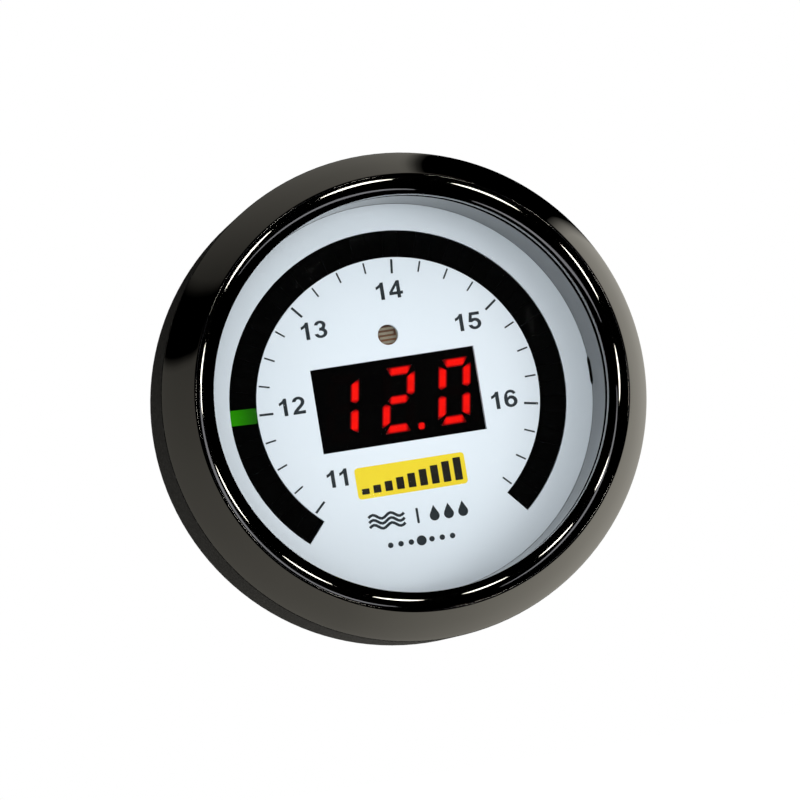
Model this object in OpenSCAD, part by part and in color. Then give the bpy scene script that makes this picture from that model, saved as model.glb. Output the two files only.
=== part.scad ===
// Air fuel ratio gauge for a standard 52 mm panel hole.
// Every module works in the dial's frame: x to the right, y up and z towards the driver, with
// z = 0 on the face of the panel. stand() turns that frame upright, so the dial faces -Y.

/* [Case] */
// Outside diameter of the cup that passes through the panel
cup_d = 52; // [51.8:0.1:53]
// Length of the cup behind the panel's face
cup_len = 5; // [5:0.1:9]
// Thickness of the cup's side wall
cup_wall = 1.7; // [1.5:0.1:1.8]
// Thickness of the cup's rear wall
rear_wall = 1.8; // [1.5:0.1:1.8]
// How far the flange stands out past the cup
flange_over = 4; // [3.9:0.1:5]
// Height of the flange in front of the panel
flange_h = 13.2; // [12.8:0.1:14]
// Height of the threaded neck above the flange
neck_rise = 2.7; // [2.6:0.1:3]
// Wall of the threaded neck
neck_wall = 2.25; // [2.1:0.05:2.3]

/* [Bezel and lens] */
// Height of the bezel's crest above its rear edge
bezel_rise = 6.7; // [6.5:0.1:7.5]
// How far the crest lies inside the bezel's outer edge
crest_inset = 3.4; // [3.1:0.1:3.6]
// Width of the inner lip, from the crest to its edge
lip_w = 2.4; // [2.2:0.05:2.6]
// Radius of the rounded crest
crest_round = 0.3; // [0.2:0.1:0.5]
// Thickness of the lens
lens_t = 1.5; // [1.3:0.1:1.6]
// Pitch of the bezel's thread
pitch = 1.5; // [1.5:0.05:1.6]
// Height of the thread's ridges
thread_h = 0.6; // [0.5:0.05:0.6]

/* [Dial] */
// Height of the dial's white face above the panel
dial_z = 7.5; // [7.5:0.1:8]
// Thickness of the faceplate
plate_t = 0.8; // [0.6:0.05:0.9]
// Distance from the slot for the light bars to the faceplate's outer edge
slot_margin = 3.2; // [3:0.05:3.5]
// Width of that slot
slot_w = 3.35; // [3.2:0.05:3.5]
// Angle from twelve o'clock to each end of that slot
slot_end_angle = 139.3; // [139:0.1:150]
// Number of light bars
bar_count = 24; // [12:1:24]
// Number of dark bars before the lit one
dark_bar_count = 4; // [0:1:11]
// Angle of the first bar, clockwise from twelve o'clock
first_bar_angle = -134.6; // [-135:0.1:-134]
// Angle from the first bar to the last
bar_sweep = 270; // [268:1:270]
// Width of one light bar, across the ring
bar_w = 1.96; // [1.6:0.02:2]
// Width of the display's window
window_w = 20.6; // [20:0.1:21]
// Height of the display's window
window_h = 10.45; // [10.2:0.05:10.6]
// Radius of the hole over the light sensor
eye_r = 1.27; // [1:0.01:1.5]
// Height of that hole above the dial's centre
eye_y = 8.14; // [8.1:0.02:8.4]

/* [Display] */
// Width of the digit display's body
display_w = 22.6; // [22:0.1:23]
// Height of the digit display's body
display_h = 11.1; // [10.8:0.1:11.1]
// Height of one digit
digit_h = 8.1; // [7.6:0.1:8.4]
// Width of one digit
digit_w = 4.1; // [3.8:0.1:4.3]
// Distance from one digit to the next
digit_pitch = 7.05; // [6.9:0.05:7.1]
// Width of a segment
stroke = 1.1; // [0.9:0.05:1.2]
// Lean of the digits, in degrees
digit_lean = 10; // [6:1:12]

/* [Board] */
// Thickness of the circuit board
board_t = 1.6; // [1.4:0.1:1.6]
// Height of the board above the case's floor, room for the parts on its rear
board_stand = 1.6; // [1.5:0.05:1.9]
// Wall of the light mask beside the bars
mask_wall = 1.1; // [0.9:0.1:1.2]

/* [Rear] */
// Pitch of the terminals in both sockets
pin_pitch = 3; // [2.9:0.05:3.1]
// Diameter of one terminal
pin_d = 1; // [0.8:0.1:1.1]
// How far the sockets stand out of the rear wall
socket_proud = 7.1; // [7:0.1:10]
// Wall of the sockets
socket_wall = 1.1; // [0.9:0.1:1.2]
// Side of the output selector's body
selector_w = 7.3; // [6.9:0.1:7.5]
// Diameter of the selector's rotor
rotor_d = 5; // [4.4:0.1:5.4]
// Diameter of the mounting studs
stud_d = 4; // [3.5:0.1:4.2]
// Length of the studs behind the rear wall
stud_len = 14; // [10:0.5:20]
// Distance between the two studs' centres
stud_span = 36; // [35.6:0.1:36.4]

/* [Hidden] */

// Smoothness of round parts, of small round parts and of blends
$fn = 180;
small_fn = 48;
arc_steps = 8;
// One overrun serves all cuts
cut = 0.5;
// Clearance of a piece pushed into another, and of one that drops into its place
push_gap = 0.05;
drop_gap = 0.1;

// Radii and heights of the case
cup_r = cup_d / 2;
bore_r = cup_r - cup_wall;
flange_r = cup_r + flange_over;
rear_z = -cup_len;
floor_z = rear_z + rear_wall;
neck_r = bore_r + neck_wall;
neck_top = flange_h + neck_rise;
flange_round = 0.35;
cup_chamfer = 0.6;
neck_chamfer = 0.35;
// Pockets that core the flange from behind, with ribs between them
core_land = 1.2;
core_w = 1.5;
core_depth = 8.6;
core_count = 24;
core_rib = 1.2;
// Keys that stop the faceplate from turning, at three and nine o'clock
key_w = 3.2;
key_h = 2.5;
key_in = 0.4;
key_drop = 0.25;

// The thread: the neck's ridge and the bezel's ridge share one helix, half a pitch apart
thread_gap = 0.2;
thread_sink = 0.2;
thread_tip_share = 0.22;
thread_foot_share = 0.62;
thread_steps = 60;
thread_turns = 2;
neck_crest_r = neck_r + thread_h;
bezel_root_r = neck_crest_r + thread_gap;
bezel_crest_r = neck_r + thread_gap;
skirt_t = 1.4;
skirt_len = 2.4;
groove_gap = 0.25;
groove_r = bezel_root_r + skirt_t + groove_gap;
groove_z = flange_h - skirt_len - groove_gap;
thread_foot = pitch * thread_foot_share;
thread_tip = pitch * thread_tip_share;
thread_z = groove_z + thread_gap + thread_foot / 2;

// Seal and lens
seal_w = 0.9;
seal_h = 0.8;
seal_proud = 0.05;
seal_r = bore_r + neck_wall / 2;
lens_z = neck_top + seal_proud;
lens_edge = 0.65;
lens_r = neck_r - lens_edge;
lens_bevel = 0.2;

// Bezel
seat_gap = 0.05;
bezel_z = flange_h + seat_gap;
crest_r = flange_r - crest_inset;
crest_z = bezel_z + bezel_rise;
lip_r = crest_r - lip_w;
lens_gap = 0.05;
lens_side_gap = 0.2;
lip_z = lens_z + lens_t + lens_gap;
lip_round = 0.35;
lip_edge_h = 1.6;
bezel_edge_round = 0.15;
bezel_swell = 0.18;
bezel_bore_r = lens_r + lens_side_gap;
bezel_step_z = neck_top + drop_gap;

// Faceplate
plate_r = bore_r - drop_gap;
plate_z = dial_z - plate_t;
key_z = dial_z - key_drop - key_h;
slot_out_r = plate_r - slot_margin;
slot_in_r = slot_out_r - slot_w;
notch_side_gap = 0.1;
notch_in_r = bore_r - key_in - notch_side_gap;

// Light mask, bars and lights
board_rear = floor_z + board_stand;
board_z = board_rear + board_t;
mask_h = plate_z - board_z;
mask_rib_gap = 0.1;
mask_rib_drop = 0.1;
mask_in_r = slot_in_r - mask_wall;
mask_out_r = slot_out_r + mask_wall;
mask_end_gap = 0.25;
bar_step = bar_sweep / (bar_count - 1);
bar_mid_r = (slot_in_r + slot_out_r) / 2;
bar_l = slot_out_r - slot_in_r - 2 * mask_rib_gap;
bar_foot_h = 2;
led_l = 2;
led_w = 1.25;
led_h = 0.8;

// Screws through the mask and the board into the case
screw_places = [[0, -19.4], [-10.2, 10.4], [10.2, 10.4]];
screw_d = 2.2;
screw_grip = 2.5;
screw_head_d = 3.8;
screw_head_h = 1.5;
screw_slot_w = 0.55;
screw_slot_depth = 0.7;
screw_end_gap = 0.45;
boss_r = 2.3;
ear_r = 2.4;
head_gap = 0.25;

// Digit display: its body stands off the board under the window
display_face_z = plate_z - drop_gap;
display_stand = 0.3;
display_z = board_z + display_stand;
segment_depth = 0.6;
segment_proud = 0.03;
segment_gap = 0.03;
digit_count = 3;
digit_x = 0.15;
digit_y = 0.08;
point_d = 0.93;
point_x = 2.3;
point_y = 3.65;
display_pin_count = 6;
display_pin_pitch = 2.54;
display_pin_d = 0.5;
display_pin_row = 4.6;
tail_len = 1;

// Digits, from left to right: the segments that are lit
lit_digits = ["bc", "abdeg", "abcdef"];
segment_names = "abcdefg";
// How far the corners of a segment lie in from the digit's outline, in shares of the stroke
mitre_share = 0.36;
top_share = 0.65;
inner_top_share = 1.32;
tip_share = 0.3;
waist_share = 0.62;
bar_tip_share = 1.1;

// Light sensor behind its hole: a ceramic disc with a folded track, on two leads
sensor_d = 4.8;
sensor_t = 2;
sensor_drop = 0.3;
sensor_z = plate_z - sensor_drop;
track_w = 0.26;
track_t = 0.03;
track_l = 2.3;
track_pitch = 0.56;
track_runs = 5;
lead_d = 0.5;
lead_span = 3.4;

// Circuit board
board_gap = 0.6;
board_r = bore_r - board_gap;
hole_gap = 0.1;
// Chips on the board's rear: places, body sizes and leads
chip_t = 1;
chip_lift = 0.1;
micro_w = 6;
micro_leads = 8;
micro_lead_pitch = 0.65;
driver_x = 9.6;
driver_w = 5;
driver_h = 4.4;
driver_leads = 7;
lead_w = 0.26;
lead_t = 0.16;
lead_out = 0.85;
resistor_l = 2;
resistor_w = 1.2;
resistor_t = 0.5;
resistor_in = 1.4;
// Parts on the board's front, around the display
can_d = 4;
can_y = 2.6;
can_gap = 0.4;
can_ring = mask_in_r - can_gap - can_d / 2;
can_x = sqrt(can_ring * can_ring - can_y * can_y);
can_places = [[-can_x, can_y], [-can_x, -can_y], [can_x, can_y], [can_x, -can_y]];
can_h = 5.3;
can_waist = 0.25;
can_waist_z = 1.2;
inductor_at = [1.4, -11];
inductor_w = 5;
inductor_h = 3.2;
inductor_round = 1.2;
crystal_at = [-7, -7.3];
crystal_w = 4.6;
crystal_h = 2;
crystal_t = 1.2;
regulator_at = [0, 13.5];
regulator_w = 6.4;
regulator_h = 4;
regulator_t = 2.3;
regulator_leads = 3;
regulator_lead_pitch = 2.1;
transistor_places = [[4.2, -7.1], [8.2, -7.1], [12.2, -7.1]];
transistor_w = 2.9;
transistor_h = 1.3;
transistor_t = 1;

// Sockets: a shroud on the board that looks out of a window in the rear wall
socket_rows = 2;
power_columns = 2;
sensor_columns = 3;
socket_side = 2.4;
socket_floor = 2;
socket_gap = 2;
socket_y = -11;
socket_h = (socket_rows - 1) * pin_pitch + 2 * socket_side + 2 * socket_wall;
power_w = (power_columns - 1) * pin_pitch + 2 * socket_side + 2 * socket_wall;
sensor_w = (sensor_columns - 1) * pin_pitch + 2 * socket_side + 2 * socket_wall;
sockets_w = power_w + socket_gap + sensor_w;
power_x = (sockets_w - power_w) / 2;
sensor_x = (sensor_w - sockets_w) / 2;
socket_mouth = rear_z - socket_proud;
socket_bed = board_rear - socket_floor;
window_gap = 0.15;
latch_w = 3;
latch_l = 1.6;
latch_in = 1.2;
socket_round = 0.5;
pin_recess = 4.7;
pin_tip = 0.25;

// Output selector: five positions, marked by dots on the rear wall
selector_gap = 0.56;
selector_at = [0, eye_y + lead_d / 2 + selector_gap + selector_w / 2];
selector_sink = 0.1;
selector_z = rear_z + selector_sink;
rotor_gap = 0.05;
rotor_h = 2.2;
rotor_slot_w = 0.8;
rotor_slot_depth = 0.8;
rotor_key_d = 1.1;
dot_count = 5;
dot_r = 0.4;
dot_proud = 0.2;
dot_step = 36;
dot_gap = 0.3;
dot_ring = (selector_w / 2 + window_gap) / cos(dot_step) + dot_r + dot_gap;

// Studs held by their heads inside the rear wall, with a wider collar in its hole
stud_collar_over = 0.5;
stud_collar_r = stud_d / 2 + stud_collar_over;
stud_head_over = 0.7;
stud_head_r = stud_collar_r + stud_head_over;
stud_head_h = 0.9;
stud_gap = 0.03;
stud_chamfer = 0.5;

// A vector of length one, and the arc that rounds the corner b between a and c
function unit(v) = v / norm(v);
function rounded(a, b, c, r) =
    let (
        u = unit(a - b),
        w = unit(c - b),
        half = acos(u * w) / 2,
        middle = b + unit(u + w) * r / sin(half),
        p = b + u * r / tan(half) - middle,
        q = b + w * r / tan(half) - middle,
        from = atan2(p[1], p[0]),
        turn = (atan2(q[1], q[0]) - from + 540) % 360 - 180
    )
    [for (i = [0 : arc_steps]) middle + r * [cos(from + turn * i / arc_steps), sin(from + turn * i / arc_steps)]];
// Points from a to b that swell to the right of that line
function swelled(a, b, swell) =
    let (side = unit([b[1] - a[1], a[0] - b[0]]))
    [for (i = [1 : arc_steps - 1]) a + (b - a) * i / arc_steps + side * swell * sin(180 * i / arc_steps)];

module stand() {
    rotate([90, 0, 0]) children();
}

module box_at(at, z, w, h, t) {
    translate([at[0] - w / 2, at[1] - h / 2, z]) cube([w, h, t]);
}

module small_rod(d, z, h) {
    translate([0, 0, z]) cylinder(d = d, h = h, $fn = small_fn);
}

module ring(out_r, in_r, z, h) {
    translate([0, 0, z]) linear_extrude(h) difference() {
        circle(out_r);
        circle(in_r);
    }
}

// The children once for each light bar, from the first clockwise to the last
module at_bars(from = 1, to = bar_count) {
    for (i = [from : to]) rotate(-first_bar_angle - (i - 1) * bar_step) children();
}

// A ring open at six o'clock, with its ends at an angle from twelve o'clock
module open_ring(out_r, in_r, end_angle, z, h) {
    far = 2 * out_r;
    translate([0, 0, z]) linear_extrude(h) difference() {
        circle(out_r);
        circle(in_r);
        polygon([
            [0, 0],
            [far * sin(end_angle), far * cos(end_angle)],
            [0, -2 * far],
            [-far * sin(end_angle), far * cos(end_angle)]
        ]);
    }
}

// One helical ridge of the thread, from its foot to its tip
module ridge(low, foot_r, tip_r) {
    count = thread_turns * thread_steps;
    outward = tip_r > foot_r;
    section = [[foot_r, -thread_foot / 2], [tip_r, -thread_tip / 2], [tip_r, thread_tip / 2], [foot_r, thread_foot / 2]];
    points = [for (i = [0 : count]) for (p = section)
        let (a = 360 * i / thread_steps)
        [p[0] * cos(a), p[0] * sin(a), low + p[1] + pitch * i / thread_steps]];
    sides = [for (i = [0 : count - 1]) for (j = [0 : 3])
        let (a = 4 * i + j, b = 4 * i + (j + 1) % 4)
        each [[a, b, b + 4], [a, b + 4, a + 4]]];
    last = 4 * count;
    ends = [[3, 2, 1], [3, 1, 0], [last, last + 1, last + 2], [last, last + 2, last + 3]];
    faces = concat(sides, ends);
    polyhedron(points, outward ? faces : [for (f = faces) [f[2], f[1], f[0]]]);
}

module housing_profile() {
    polygon(concat(
        [[0, rear_z], [cup_r - cup_chamfer, rear_z], [cup_r, rear_z + cup_chamfer], [cup_r, 0]],
        rounded([cup_r, 0], [flange_r, 0], [flange_r, flange_h], flange_round),
        rounded([flange_r, 0], [flange_r, flange_h], [groove_r, flange_h], flange_round),
        [[groove_r, flange_h], [groove_r, groove_z], [neck_r, groove_z]],
        [[neck_r, neck_top - neck_chamfer], [neck_r - neck_chamfer, neck_top]],
        [[bore_r, neck_top], [bore_r, floor_z], [0, floor_z]]
    ));
}

module flange_cores() {
    difference() {
        ring(cup_r + core_land + core_w, cup_r + core_land, -cut, core_depth + cut);
        for (i = [0 : core_count - 1]) rotate((i + 0.5) * 360 / core_count)
            translate([cup_r, -core_rib / 2, -2 * cut]) cube([2 * flange_over, core_rib, core_depth + 4 * cut]);
    }
}

module window(at, w, h) {
    box_at(at, rear_z - cut, w + 2 * window_gap, h + 2 * window_gap, rear_wall + 2 * cut);
}

module housing() {
    color([0.09, 0.09, 0.085]) stand() union() {
        difference() {
            union() {
                rotate_extrude() housing_profile();
                for (p = screw_places) translate([p[0], p[1], rear_z + rear_wall / 2])
                    cylinder(r = boss_r, h = board_rear - rear_z - rear_wall / 2, $fn = small_fn);
            }
            ring(seal_r + seal_w / 2 + push_gap, seal_r - seal_w / 2 - push_gap,
                neck_top - seal_h + seal_proud, seal_h + cut);
            flange_cores();
            window([power_x, socket_y], power_w, socket_h);
            window([sensor_x, socket_y], sensor_w, socket_h);
            window(selector_at, selector_w, selector_w);
            for (side = [-1, 1]) translate([side * stud_span / 2, 0, 0])
                small_rod(2 * stud_collar_r + 2 * stud_gap, rear_z - cut, rear_wall + 2 * cut);
            for (p = screw_places) translate([p[0], p[1], 0])
                small_rod(screw_d + 2 * push_gap, rear_z + screw_end_gap, board_rear - rear_z);
        }
        for (side = [-1, 1]) box_at([side * (bore_r - key_in + key_in / 2 + cut / 2), 0],
            key_z, key_in + cut, key_w, key_h);
        for (i = [0 : dot_count - 1]) translate([selector_at[0], selector_at[1], 0])
            rotate((i - (dot_count - 1) / 2) * dot_step) translate([0, dot_ring, 0])
            small_rod(2 * dot_r, rear_z - dot_proud, dot_proud + rear_wall / 2);
        ridge(thread_z, neck_r - thread_sink, neck_crest_r);
    }
}

module bezel_profile() {
    skirt_z = flange_h - skirt_len;
    skirt_r = bezel_root_r + skirt_t;
    outer_edge = [flange_r, bezel_z];
    crest = [crest_r, crest_z];
    lip_top = [lip_r, lip_z + lip_edge_h];
    lip_low = [lip_r, lip_z];
    polygon(concat(
        [[bezel_root_r, skirt_z], [skirt_r, skirt_z], [skirt_r, bezel_z]],
        rounded([skirt_r, bezel_z], outer_edge, crest, bezel_edge_round),
        [for (p = swelled(outer_edge, crest, bezel_swell)) p],
        rounded(outer_edge, crest, lip_top, crest_round),
        rounded(crest, lip_top, lip_low, lip_round),
        rounded(lip_top, lip_low, [bezel_bore_r, lip_z], lip_round),
        [[bezel_bore_r, lip_z], [bezel_bore_r, bezel_step_z], [bezel_root_r, bezel_step_z]]
    ));
}

module bezel() {
    color([0.16, 0.155, 0.145]) stand() union() {
        rotate_extrude() bezel_profile();
        ridge(thread_z + pitch / 2, bezel_root_r + thread_sink, bezel_crest_r);
    }
}

module lens() {
    color([0.8, 0.85, 0.88, 0.3]) stand() rotate_extrude() polygon([
        [0, lens_z], [lens_r - lens_bevel, lens_z], [lens_r, lens_z + lens_bevel],
        [lens_r, lens_z + lens_t - lens_bevel], [lens_r - lens_bevel, lens_z + lens_t], [0, lens_z + lens_t]
    ]);
}

module lens_seal() {
    color([0.03, 0.03, 0.03]) stand()
        ring(seal_r + seal_w / 2, seal_r - seal_w / 2, neck_top - seal_h + seal_proud, seal_h);
}

module faceplate() {
    color([0.93, 0.95, 0.97]) stand() difference() {
        translate([0, 0, plate_z]) cylinder(r = plate_r, h = plate_t);
        open_ring(slot_out_r, slot_in_r, slot_end_angle, plate_z - cut, plate_t + 2 * cut);
        box_at([0, 0], plate_z - cut, window_w, window_h, plate_t + 2 * cut);
        translate([0, eye_y, 0]) small_rod(2 * eye_r, plate_z - cut, plate_t + 2 * cut);
        for (side = [-1, 1]) box_at([side * plate_r, 0], plate_z - cut,
            2 * (plate_r - notch_in_r), key_w + 2 * notch_side_gap, plate_t + 2 * cut);
    }
}

module bar_shape(w, l, z, h) {
    box_at([0, bar_mid_r], z, w, l, h);
}

module light_mask() {
    color([0.05, 0.05, 0.05]) stand() difference() {
        union() {
            ring(mask_out_r, mask_in_r, board_z, mask_h);
            open_ring(slot_out_r - mask_rib_gap, slot_in_r + mask_rib_gap,
                slot_end_angle - mask_end_gap, plate_z - cut, plate_t + cut - mask_rib_drop);
            for (p = screw_places) translate([p[0], p[1], board_z])
                cylinder(r = ear_r, h = screw_grip, $fn = small_fn);
        }
        at_bars() bar_shape(bar_w, slot_out_r - slot_in_r, board_z - cut, mask_h + plate_t + 2 * cut);
        for (p = screw_places) translate([p[0], p[1], 0]) {
            small_rod(screw_d + 2 * hole_gap, board_z - cut, screw_grip + 2 * cut);
            small_rod(screw_head_d + 2 * head_gap, board_z + screw_grip, mask_h);
        }
    }
}

module diffuser() {
    bar_shape(bar_w - 2 * push_gap, bar_l, board_z + bar_foot_h, dial_z - mask_rib_drop - board_z - bar_foot_h);
}

module bar_diffusers() {
    color([0.02, 0.03, 0.02]) stand() {
        at_bars(1, dark_bar_count) diffuser();
        at_bars(dark_bar_count + 2, bar_count) diffuser();
    }
}

module bar_diffuser_lit() {
    color([0.1, 0.6, 0.15]) stand() at_bars(dark_bar_count + 1, dark_bar_count + 1) diffuser();
}

// Corners of each segment before the digit leans
function segment(name) =
    let (
        w = digit_w / 2,
        h = digit_h / 2,
        t = stroke,
        flat = [[mitre_share * t - w, h], [w - mitre_share * t, h], [w - t, h - t], [t - w, h - t]],
        tall = [
            [w, h - top_share * t], [w, waist_share * t], [w - mitre_share * t, tip_share * t],
            [w - t, waist_share * t], [w - t, h - inner_top_share * t]
        ],
        middle = [
            [waist_share * t - w, 0], [bar_tip_share * t - w, t / 2], [w - bar_tip_share * t, t / 2],
            [w - waist_share * t, 0], [w - bar_tip_share * t, -t / 2], [bar_tip_share * t - w, -t / 2]
        ]
    )
    name == "a" ? flat
    : name == "b" ? tall
    : name == "c" ? [for (p = tall) [p[0], -p[1]]]
    : name == "d" ? [for (p = flat) [p[0], -p[1]]]
    : name == "e" ? [for (p = tall) [-p[0], -p[1]]]
    : name == "f" ? [for (p = tall) [-p[0], p[1]]]
    : middle;

function leaning(points) = [for (p = points) [p[0] + p[1] * tan(digit_lean), p[1]]];

// Outlines of the lit segments, of the dark ones, or of all of them
module segment_outlines(which) {
    for (i = [0 : digit_count - 1]) translate([digit_x + (i - 1) * digit_pitch, digit_y]) {
        for (name = segment_names)
            if (which == "all" || (which == "lit") == (len(search(name, lit_digits[i])) > 0))
                polygon(leaning(segment(name)));
        if (which == "all" || (which == "lit") == (i == 1))
            translate([point_x, -point_y]) circle(d = point_d, $fn = small_fn);
    }
}

module display_body() {
    color([0.03, 0.03, 0.03]) stand() difference() {
        box_at([0, 0], display_z, display_w, display_h, display_face_z - display_z);
        translate([0, 0, display_face_z - segment_depth - segment_gap])
            linear_extrude(segment_depth + segment_gap + cut) segment_outlines("all");
    }
}

module segment_bars(which) {
    stand() translate([0, 0, display_face_z - segment_depth])
        linear_extrude(segment_depth + segment_proud) segment_outlines(which);
}

module display_segments_lit() {
    color([0.95, 0.08, 0.05]) segment_bars("lit");
}

module display_segments_dark() {
    color([0.06, 0.02, 0.02]) segment_bars("dark");
}

module at_display_pins() {
    for (side = [-1, 1]) for (i = [0 : display_pin_count - 1])
        translate([(i - (display_pin_count - 1) / 2) * display_pin_pitch, side * display_pin_row, 0]) children();
}

module display_pins() {
    color([0.8, 0.8, 0.78]) stand() at_display_pins()
        small_rod(display_pin_d, board_rear - tail_len, display_z - board_rear + tail_len);
}

module light_sensor() {
    color([0.4, 0.41, 0.36]) stand() translate([0, eye_y, 0])
        small_rod(sensor_d, sensor_z - sensor_t, sensor_t);
}

module light_sensor_track() {
    color([0.36, 0.2, 0.12]) stand() translate([0, eye_y, sensor_z]) linear_extrude(track_t) {
        for (i = [0 : track_runs - 1])
            translate([-track_l / 2, (i - (track_runs - 1) / 2) * track_pitch - track_w / 2])
            square([track_l, track_w]);
        for (i = [0 : track_runs - 2])
            translate([(i % 2 == 0 ? 1 : -1) * (track_l - track_w) / 2 - track_w / 2,
                (i - (track_runs - 1) / 2) * track_pitch - track_w / 2])
            square([track_w, track_pitch + track_w]);
    }
}

module at_sensor_leads() {
    for (side = [-1, 1]) translate([side * lead_span / 2, eye_y, 0]) children();
}

module light_sensor_leads() {
    color([0.8, 0.8, 0.78]) stand() at_sensor_leads()
        small_rod(lead_d, board_rear - tail_len, sensor_z - sensor_t - board_rear + tail_len);
}

module at_socket_pins(x, columns) {
    for (i = [0 : columns - 1]) for (j = [0 : socket_rows - 1])
        translate([x + (i - (columns - 1) / 2) * pin_pitch, socket_y + (j - (socket_rows - 1) / 2) * pin_pitch, 0])
        children();
}

module main_board() {
    color([0.05, 0.25, 0.13]) stand() difference() {
        translate([0, 0, board_rear]) cylinder(r = board_r, h = board_t);
        at_display_pins() board_hole(display_pin_d);
        at_sensor_leads() board_hole(lead_d);
        at_socket_pins(power_x, power_columns) board_hole(pin_d);
        at_socket_pins(sensor_x, sensor_columns) board_hole(pin_d);
        for (p = screw_places) translate([p[0], p[1], 0]) board_hole(screw_d);
    }
}

module board_hole(d) {
    small_rod(d + 2 * hole_gap, board_rear - cut, board_t + 2 * cut);
}

module bar_leds() {
    color([0.85, 0.85, 0.7]) stand() at_bars() box_at([0, bar_mid_r], board_z, led_w, led_l, led_h);
}

module bar_resistors() {
    color([0.08, 0.08, 0.08]) stand() at_bars()
        box_at([0, board_r - resistor_in], board_rear - resistor_t, resistor_l, resistor_w, resistor_t);
}

module rear_chip(at, w, h) {
    box_at(at, board_rear - chip_lift - chip_t, w, h, chip_t);
}

module microcontroller() {
    color([0.07, 0.07, 0.07]) stand() rear_chip([0, 0], micro_w, micro_w);
}

module driver_chips() {
    color([0.07, 0.07, 0.07]) stand() for (side = [-1, 1]) rear_chip([side * driver_x, 0], driver_w, driver_h);
}

// A row of bent leads from the edge of a rear chip down to the board
module rear_leads(count, lead_pitch, edge) {
    waist = chip_lift + chip_t / 2;
    for (i = [0 : count - 1]) translate([(i - (count - 1) / 2) * lead_pitch - lead_w / 2, edge, 0]) {
        translate([0, 0, board_rear - waist - lead_t / 2]) cube([lead_w, lead_out / 2, lead_t]);
        translate([0, lead_out / 2 - lead_t, board_rear - waist - lead_t / 2])
            cube([lead_w, lead_t, waist + lead_t / 2]);
        translate([0, lead_out / 2 - lead_t, board_rear - lead_t])
            cube([lead_w, lead_out / 2 + lead_t, lead_t]);
    }
}

module chip_leads() {
    color([0.75, 0.75, 0.73]) stand() {
        for (turn = [0 : 90 : 270]) rotate(turn) rear_leads(micro_leads, micro_lead_pitch, micro_w / 2);
        for (side = [-1, 1]) translate([side * driver_x, 0, 0]) for (turn = [0, 180]) rotate(turn)
            rear_leads(driver_leads, micro_lead_pitch, driver_h / 2);
    }
}

module regulator() {
    color([0.08, 0.08, 0.08]) stand() translate([regulator_at[0], regulator_at[1], board_z]) {
        translate([-regulator_w / 2, -regulator_h / 2, 0]) cube([regulator_w, regulator_h, regulator_t]);
        for (i = [0 : regulator_leads - 1])
            translate([(i - (regulator_leads - 1) / 2) * regulator_lead_pitch - lead_w, -regulator_h / 2 - lead_out / 2, 0])
            cube([2 * lead_w, lead_out, lead_t]);
    }
}

module transistors() {
    color([0.08, 0.08, 0.08]) stand()
        for (p = transistor_places) box_at(p, board_z, transistor_w, transistor_h, transistor_t);
}

module capacitors() {
    r = can_d / 2;
    color([0.78, 0.78, 0.8]) stand() for (p = can_places) translate([p[0], p[1], board_z])
        rotate_extrude($fn = small_fn) polygon(concat(
            [[0, 0], [r, 0], [r, can_waist_z - can_waist], [r - can_waist, can_waist_z], [r, can_waist_z + can_waist]],
            rounded([r, 0], [r, can_h], [0, can_h], can_waist),
            [[0, can_h]]
        ));
}

module inductor() {
    inside = inductor_w - 2 * inductor_round;
    color([0.15, 0.15, 0.16]) stand() translate([inductor_at[0], inductor_at[1], board_z])
        linear_extrude(inductor_h) union() {
            square([inductor_w, inside], center = true);
            square([inside, inductor_w], center = true);
            for (x = [-1, 1]) for (y = [-1, 1]) translate([x * inside / 2, y * inside / 2])
                circle(inductor_round, $fn = small_fn);
        }
}

module crystal() {
    side = crystal_w - crystal_h;
    color([0.8, 0.8, 0.8]) stand() translate([crystal_at[0], crystal_at[1], board_z])
        linear_extrude(crystal_t) union() {
            square([side, crystal_h], center = true);
            for (x = [-1, 1]) translate([x * side / 2, 0]) circle(d = crystal_h, $fn = small_fn);
        }
}

module board_screws() {
    head_z = board_z + screw_grip;
    tip_z = rear_z + screw_end_gap + drop_gap;
    color([0.7, 0.7, 0.68]) stand() for (p = screw_places) translate([p[0], p[1], 0]) difference() {
        union() {
            small_rod(screw_d, tip_z, head_z - tip_z + screw_head_h / 2);
            small_rod(screw_head_d, head_z, screw_head_h);
        }
        for (turn = [0, 90]) rotate(turn)
            box_at([0, 0], head_z + screw_head_h - screw_slot_depth, screw_head_d - 2 * screw_slot_w, screw_slot_w,
                screw_slot_depth + cut);
    }
}

module rounded_box(w, h, r, z, t) {
    translate([0, 0, z]) linear_extrude(t) union() {
        square([w, h - 2 * r], center = true);
        square([w - 2 * r, h], center = true);
        for (x = [-1, 1]) for (y = [-1, 1]) translate([x * (w / 2 - r), y * (h / 2 - r)])
            circle(r, $fn = small_fn);
    }
}

module socket(x, columns, w) {
    inner_w = w - 2 * socket_wall;
    inner_h = socket_h - 2 * socket_wall;
    difference() {
        translate([x, socket_y, 0]) difference() {
            rounded_box(w, socket_h, socket_round, socket_mouth, board_rear - socket_mouth);
            translate([-inner_w / 2, -inner_h / 2, socket_mouth - cut])
                cube([inner_w, inner_h, socket_bed - socket_mouth + cut]);
            translate([-latch_w / 2, inner_h / 2 - cut, socket_mouth + latch_in])
                cube([latch_w, socket_wall + 2 * cut, latch_l]);
        }
        at_socket_pins(x, columns) small_rod(pin_d + 2 * stud_gap, socket_bed - cut, socket_floor + 2 * cut);
    }
}

module socket_pins(x, columns) {
    low = socket_mouth + pin_recess;
    high = board_z + tail_len;
    at_socket_pins(x, columns) rotate_extrude($fn = small_fn) polygon([
        [0, low], [pin_d / 2 - pin_tip, low], [pin_d / 2, low + pin_tip],
        [pin_d / 2, high - pin_tip], [pin_d / 2 - pin_tip, high], [0, high]
    ]);
}

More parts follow.
